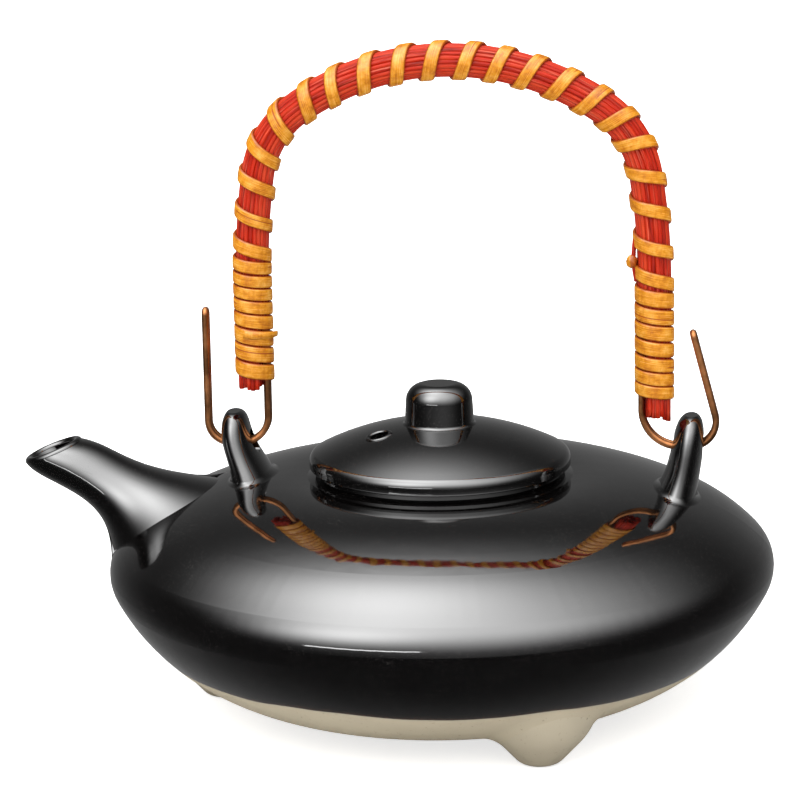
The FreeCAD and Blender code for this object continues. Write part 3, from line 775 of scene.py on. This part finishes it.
def skirt(name, node, width, material):
    """A soft fillet of glaze or clay round the seam of a luted-on piece."""
    pot_tree = tree_of("pot_body", "pot_dome")[1]
    points, tree = tree_of(node)
    seam = [q for q in points if pot_tree.find_nearest(q)[3] < SEAM_TOUCH]
    centre = sum(seam, Vector()) / len(seam)
    normal = pot_tree.find_nearest(centre)[1]
    east = normal.orthogonal().normalized()
    north = normal.cross(east)
    outline = hull([((q - centre).dot(east), (q - centre).dot(north)) for q in seam])
    mesh = Mesh()
    wide = width * MM
    for index in range(FILLET_COUNT):
        turn = 2 * math.pi * index / FILLET_COUNT
        way = east * math.cos(turn) + north * math.sin(turn)
        base, base_normal = pot_tree.find_nearest(centre + way * reach_along(outline, turn))[:2]
        low, low_normal = pot_tree.find_nearest(base + way * wide)[:2]
        low = low - low_normal * FILLET_SINK
        start = base + base_normal * wide + way * SIDE_START
        high = tree.ray_cast(start, -way, SIDE_REACH)[0]
        if high is None:
            high = base + base_normal * wide * 0.6
        high = high - way * FILLET_SINK
        for step in range(FILLET_STEPS):
            t = step / (FILLET_STEPS - 1)
            place = low * (1 - t) ** 2 + base * 2 * t * (1 - t) + high * t ** 2
            mesh.points.append(place / MM)
    join_rows(mesh, FILLET_COUNT, FILLET_STEPS)
    piece = mesh.build(name, material)
    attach(piece, "pot")
    return piece


LIP_COUNT = 96
LIP_STEPS = 11
# In millimetres: half the mouth's length and width on the rim's middle, and the bead's reach and rise
LIP_LONG = 6.3
LIP_WIDE = 6.7
LIP_REACH = 1.02
LIP_RISE = 0.9
# Degrees round the bead's section: where it starts and what it covers
LIP_START = -25
LIP_COVER = 230


def lip_bead(sizes, material):
    """Rounds the rim of the spout's mouth."""
    tip = sizes.lip_tilt
    along = Vector((math.cos(tip), 0, -math.sin(tip)))
    over = Vector((math.sin(tip), 0, math.cos(tip)))
    middle = Vector((sizes.lip_x, 0, sizes.lip_z))
    mesh = Mesh()
    for index in range(LIP_COUNT):
        turn = 2 * math.pi * index / LIP_COUNT
        way = along * math.cos(turn) + ACROSS * math.sin(turn)
        place = middle + along * LIP_LONG * math.cos(turn) + ACROSS * LIP_WIDE * math.sin(turn)
        for step in range(LIP_STEPS):
            roll = math.radians(LIP_START + LIP_COVER * step / (LIP_STEPS - 1))
            mesh.points.append(place + way * LIP_REACH * math.cos(roll) + over * LIP_RISE * math.sin(roll))
    join_rows(mesh, LIP_COUNT, LIP_STEPS)
    piece = mesh.build("spout_lip", material)
    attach(piece, "pot")


STEAM_COUNT = 48
STEAM_STEPS = 8
# In millimetres: the roll's distance from the hole's edge, its rise, how deep it sits and half its width
STEAM_GAP = 0.55
STEAM_RISE = 0.38
STEAM_SINK = 0.06
STEAM_HALF = 0.5


def steam_rim(sizes, material):
    """A low roll of glaze round the steam hole in the lid."""
    turn = sizes.steam_turn
    middle = Vector((math.cos(turn), math.sin(turn), 0)) * sizes.steam_reach * MM
    tree = tree_of("lid")[1]
    mesh = Mesh()
    for index in range(STEAM_COUNT):
        way = 2 * math.pi * index / STEAM_COUNT
        over = middle + Vector((math.cos(way), math.sin(way), 0)) * (sizes.steam_radius + STEAM_GAP) * MM
        place, normal = tree.ray_cast(over + Vector((0, 0, 0.2)), Vector((0, 0, -1)))[:2]
        out = (over - middle).normalized()
        for step in range(STEAM_STEPS):
            roll = math.pi * step / (STEAM_STEPS - 1)
            lift = normal * (math.sin(roll) * STEAM_RISE - STEAM_SINK) + out * math.cos(roll) * STEAM_HALF
            mesh.points.append(place / MM + lift)
    join_rows(mesh, STEAM_COUNT, STEAM_STEPS)
    piece = mesh.build("steam_rim", material)
    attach(piece, "lid")


# Operators

GLAZED = ("pot_body", "pot_dome", "spout", "ear_front", "ear_rear", "lid", "lid_flange", "lid_knob")
FEET = ("foot_spout", "foot_near", "foot_far")
# Widths of the fillets in millimetres
GLAZED_FILLETS = (("ear_front", 1.6), ("ear_rear", 1.6), ("spout", 6.5))
FOOT_FILLET = 3.2


class TEAPOT_OT_glaze(bpy.types.Operator):
    """Glazes the fired pieces and leaves the base and feet bare."""
    bl_idname = "teapot.glaze"
    bl_label = "Glaze the pot and lid"

    def execute(self, context):
        sizes = context.scene.teapot_sizes
        colours = context.scene.teapot_colours
        glaze = glaze_material(sizes, colours)
        clay = clay_material(colours)
        for name in GLAZED:
            paint(name, glaze)
        for name in FEET:
            paint(name, clay)
        for name, width in GLAZED_FILLETS:
            skirt(name + "_fillet", name, width, glaze)
        for name in FEET:
            skirt(name + "_fillet", name, FOOT_FILLET, glaze)
        lip_bead(sizes, glaze)
        steam_rim(sizes, glaze)
        return {"FINISHED"}


CANE_SEED = 7
# In millimetres: the reeds this far to the inside stop short of the tucked wire, by this gap
INNER_REEDS = -1.6
WIRE_GAP = 1.0
CORE_REEDS = 6
CORE_CIRCLE = 1.92
CORE_RADIUS = 0.98


class TEAPOT_OT_canes(bpy.types.Operator):
    """Makes the bundle of thin dyed reeds in place of the plain canes."""
    bl_idname = "teapot.canes"
    bl_label = "Lay the canes"

    def execute(self, context):
        sizes = context.scene.teapot_sizes
        line = bail_line(sizes)
        rng = random.Random(CANE_SEED)
        material = cane_material(context.scene.teapot_colours)
        total = bail_length(line)
        outer = Mesh()
        for index in range(sizes.reed_count):
            turn = 2 * math.pi * (index + 0.5) / sizes.reed_count
            out = sizes.reed_circle * math.cos(turn)
            across = sizes.reed_circle * math.sin(turn)
            start = rng.uniform(0.0, 1.6)
            end = total - rng.uniform(0.0, 1.2) - 0.35 * (sizes.reed_circle - out)
            if out < INNER_REEDS:
                start = sizes.hook_tuck + WIRE_GAP - sizes.bail_left_end
                end = total - (sizes.hook_tuck + WIRE_GAP - sizes.bail_right_end)
            reed(outer, sizes, line, out, across, start, end, sizes.reed_radius, rng)
        bundle = outer.build("cane_bundle", material)
        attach(bundle, "handle")
        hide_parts("cane_1", "cane_2", "cane_3", "cane_4", "cane_5", "cane_6")
        core = Mesh()
        for index in range(CORE_REEDS + 1):
            turn = 2 * math.pi * index / CORE_REEDS
            reach = 0.0 if index == CORE_REEDS else CORE_CIRCLE
            start = rng.uniform(1.0, 2.4)
            end = total - rng.uniform(1.0, 2.4)
            out = reach * math.cos(turn)
            across = reach * math.sin(turn)
            reed(core, sizes, line, out, across, start, end, CORE_RADIUS, rng)
        middle = core.build("cane_middle", material)
        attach(middle, "handle")
        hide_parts("cane_core")
        return {"FINISHED"}


# Where the front of each turn of rattan crosses the bail, in millimetres from the left end
LEFT_TURNS = (5.2, 9.4, 13.4, 17.3, 20.7, 23.9, 27.0, 30.4)
OPEN_TURNS = (34.6, 41.9, 50.2, 57.8, 65.9, 74.4, 81.4, 89.7, 98.0, 105.8, 113.8, 121.2, 128.6, 136.6,
              144.6, 151.9, 158.8, 166.9, 175.0, 184.2, 191.6)
RIGHT_TURNS = (196.2, 200.4, 204.3, 208.2, 212.0, 215.4, 218.6)
# A turn's strip takes up this much of the way to the next
CLOSE_SHARE = 0.92
RATTAN_SEED = 11
# The knot inside the right leg: millimetres from the left end, turn round the bundle in radians, distance
# from the strip's underside, and how far its cord runs to either side
KNOT_RUN = 187.5
KNOT_TURN = 3.42
KNOT_OUT = 1.35
CORD_BEFORE = 5.5
CORD_AFTER = 5.0
# The loose end on the left binding, in millimetres from the left end
LOOSE_RUN = 14.2


class TEAPOT_OT_rattan(bpy.types.Operator):
    """Winds the flat rattan strip, a binding at each end and a spiral between, and ties its knot."""
    bl_idname = "teapot.rattan"
    bl_label = "Wind the rattan"

    def execute(self, context):
        sizes = context.scene.teapot_sizes
        line = bail_line(sizes)
        rng = random.Random(RATTAN_SEED)
        material = rattan_material(context.scene.teapot_colours)
        for name, node, marks in (("rattan_left", "binding_left", LEFT_TURNS),
                                  ("rattan_spiral", "spiral", OPEN_TURNS),
                                  ("rattan_right", "binding_right", RIGHT_TURNS)):
            widths = []
            widest = sizes.strip_wide if node == "spiral" else sizes.binding_wide
            for index in range(len(marks)):
                gap = marks[min(index + 1, len(marks) - 1)] - marks[max(index - 1, 0)]
                pitch = gap / (2.0 if 0 < index < len(marks) - 1 else 1.0)
                widths.append(min(widest, pitch * CLOSE_SHARE) * rng.uniform(0.94, 1.03))
            mesh = Mesh()
            strip(mesh, sizes, line, marks, widths, rng)
            piece = mesh.build(name, material)
            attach(piece, "handle")
            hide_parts(node)
        ends = Mesh()
        knot(ends, on_bundle(sizes, line, KNOT_RUN, KNOT_TURN, sizes.strip_inner + KNOT_OUT), sizes, rng)
        loose_end(ends, sizes, line, LOOSE_RUN, rng)
        piece = ends.build("rattan_ends", material)
        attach(piece, "handle")
        cord = Mesh()
        tied_cord(cord, sizes, line, KNOT_RUN - CORD_BEFORE, KNOT_RUN + CORD_AFTER, KNOT_TURN, rng)
        piece = cord.build("knot_cord", cane_material(context.scene.teapot_colours))
        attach(piece, "handle")
        return {"FINISHED"}


class TEAPOT_OT_hooks(bpy.types.Operator):
    """Gives the two wire hooks their tarnished copper."""
    bl_idname = "teapot.hooks"
    bl_label = "Finish the hooks"

    def execute(self, context):
        material = wire_material(context.scene.teapot_colours)
        paint("hook_left", material)
        paint("hook_right", material)
        return {"FINISHED"}


def area_light(name, place, target, width, depth, power):
    """A lamp with a flat face, turned to a target; metres and watts."""
    data = bpy.data.lights.new(name, "AREA")
    data.shape = "RECTANGLE"
    data.size = width
    data.size_y = depth
    data.energy = power
    obj = bpy.data.objects.new(name, data)
    obj.location = place
    obj.rotation_euler = (Vector(target) - Vector(place)).to_track_quat("-Z", "Y").to_euler()
    bpy.context.scene.collection.objects.link(obj)


# Soft light from above and in front, and a glow behind for the rims: direction, tightness, strength
SOFT_LIGHTS = (
    ((-0.433, -0.644, 0.630), 12.0, 3.15),
    ((-0.247, 0.050, 0.968), 11.8, 3.25),
    ((0.166, -0.477, 0.863), 3.2, 3.0),
    ((-0.05, 0.930, -0.360), 3.0, 0.28),
)
ROOM_LIGHT = 0.02


def studio_world():
    """A dark room with broad soft sources that fade at their edges."""
    world = bpy.data.worlds.new("studio")
    world.use_nodes = True
    tree = world.node_tree
    where = tree.nodes.new("ShaderNodeTexCoord").outputs["Generated"]
    total = None
    for direction, tightness, strength in SOFT_LIGHTS:
        facing = tree.nodes.new("ShaderNodeVectorMath")
        facing.operation = "DOT_PRODUCT"
        tree.links.new(where, facing.inputs[0])
        facing.inputs[1].default_value = Vector(direction).normalized()
        last = facing.outputs["Value"]
        for operation, value in (("MAXIMUM", 0.0), ("POWER", tightness), ("MULTIPLY", strength)):
            node = tree.nodes.new("ShaderNodeMath")
            node.operation = operation
            tree.links.new(last, node.inputs[0])
            node.inputs[1].default_value = value
            last = node.outputs[0]
        if total is not None:
            node = tree.nodes.new("ShaderNodeMath")
            tree.links.new(total, node.inputs[0])
            tree.links.new(last, node.inputs[1])
            last = node.outputs[0]
        total = last
    base = tree.nodes.new("ShaderNodeMath")
    tree.links.new(total, base.inputs[0])
    base.inputs[1].default_value = ROOM_LIGHT
    tree.nodes["Background"].inputs["Color"].default_value = (1.0, 1.0, 1.0, 1.0)
    tree.links.new(base.outputs[0], tree.nodes["Background"].inputs["Strength"])
    return world


FLOOR_REACH = 6000.0
FLOOR_RINGS = 4
FLOOR_SIDES = 64
# Added to the floor for the camera's eye alone, so that it lies white in the picture and lights nothing
FLOOR_GLOW = 0.7


def floor_material(colours):
    """Dull pale floor."""
    n = Nodes("pale_floor")
    n.set("Roughness", 0.9)
    n.set("Specular IOR Level", 0.1)
    low = [c * 0.985 for c in colours.floor]
    shade = n.ramp(n.noise(n.place(), scale=3.0, detail=2.0), [(0.3, low), (0.7, colours.floor)])
    n.link(shade, n.shader.inputs["Base Color"])
    n.set("Emission Color", (1.0, 1.0, 1.0, 1.0))
    seen = n.add("ShaderNodeLightPath").outputs["Is Camera Ray"]
    n.link(n.math("MULTIPLY", seen, FLOOR_GLOW), n.shader.inputs["Emission Strength"])
    return n.material


class TEAPOT_OT_stage(bpy.types.Operator):
    """Sets a flat pale floor, soft studio light, and the camera."""
    bl_idname = "teapot.stage"
    bl_label = "Set the stage"

    def execute(self, context):
        scene = context.scene
        floor = Mesh()
        for ring in range(1, FLOOR_RINGS + 1):
            for k in range(FLOOR_SIDES):
                turn = 2 * math.pi * k / FLOOR_SIDES
                reach = FLOOR_REACH * ring / FLOOR_RINGS
                floor.points.append(Vector((reach * math.cos(turn), reach * math.sin(turn), 0.0)))
        floor.faces.append(tuple(range(FLOOR_SIDES)))
        for ring in range(FLOOR_RINGS - 1):
            for k in range(FLOOR_SIDES):
                a = ring * FLOOR_SIDES + k
                b = ring * FLOOR_SIDES + (k + 1) % FLOOR_SIDES
                floor.faces.append((a, a + FLOOR_SIDES, b + FLOOR_SIDES, b))
        obj = floor.build("floor", floor_material(scene.teapot_colours))
        obj.visible_glossy = False
        scene.world = studio_world()
        area_light("edge_light", place=(-0.40, -1.10, 0.07), target=(0.0, 0.0, 0.04),
                   width=0.8, depth=0.05, power=0.6)
        data = bpy.data.cameras.new("camera")
        data.sensor_width = 36.0
        data.lens = 148.43
        data.clip_start = 0.05
        data.clip_end = 20.0
        camera = bpy.data.objects.new("camera", data)
        scene.collection.objects.link(camera)
        camera.matrix_world = camera_matrix()
        scene.camera = camera
        scene.view_settings.view_transform = "Standard"
        return {"FINISHED"}


def camera_matrix():
    """The photograph's viewpoint: 250 mm above the table, a little to the right of the pot's front."""
    azimuth = math.radians(6.0)
    pitch = math.radians(12.829)
    yaw = math.radians(-0.697)
    roll = math.radians(1.024)
    place = Vector((0.0, -0.7698, 0.250))
    ahead = Vector((math.sin(yaw) * math.cos(pitch), math.cos(yaw) * math.cos(pitch), -math.sin(pitch)))
    right = Vector((math.cos(yaw), -math.sin(yaw), 0.0))
    up = right.cross(ahead)
    rolled_right = right * math.cos(roll) - up * math.sin(roll)
    rolled_up = right * math.sin(roll) + up * math.cos(roll)
    turn = Matrix.Rotation(azimuth, 4, "Z")
    columns = (rolled_right, rolled_up, -ahead, place)
    frame_matrix = Matrix.Identity(4)
    for index, column in enumerate(columns):
        for row in range(3):
            frame_matrix[row][index] = column[row]
    return turn @ frame_matrix


class TEAPOT_PT_panel(bpy.types.Panel):
    """Lists the steps, and the sizes and colours they use."""
    bl_idname = "TEAPOT_PT_panel"
    bl_label = "Bail teapot"
    bl_space_type = "VIEW_3D"
    bl_region_type = "UI"
    bl_category = "Teapot"

    def draw(self, context):
        for step in STEPS:
            self.layout.operator(step)
        for group in (context.scene.teapot_sizes, context.scene.teapot_colours):
            for key in group.__annotations__:
                self.layout.prop(group, key)


STEPS = ("teapot.glaze", "teapot.canes", "teapot.rattan", "teapot.hooks", "teapot.stage")
CLASSES = (TeapotSizes, TeapotColours, TEAPOT_OT_glaze, TEAPOT_OT_canes, TEAPOT_OT_rattan,
           TEAPOT_OT_hooks, TEAPOT_OT_stage, TEAPOT_PT_panel)


def register():
    """Makes the classes and the scene's settings known to Blender."""
    for item in CLASSES:
        bpy.utils.register_class(item)
    bpy.types.Scene.teapot_sizes = bpy.props.PointerProperty(type=TeapotSizes)
    bpy.types.Scene.teapot_colours = bpy.props.PointerProperty(type=TeapotColours)


def unregister():
    """Takes the classes and settings away again."""
    del bpy.types.Scene.teapot_colours
    del bpy.types.Scene.teapot_sizes
    for item in reversed(CLASSES):
        bpy.utils.unregister_class(item)


def main():
    """Makes the looks and the stage."""
    register()
    bpy.ops.teapot.glaze()
    bpy.ops.teapot.canes()
    bpy.ops.teapot.rattan()
    bpy.ops.teapot.hooks()
    bpy.ops.teapot.stage()
    bpy.context.view_layer.update()


if __name__ == "__main__":
    main()
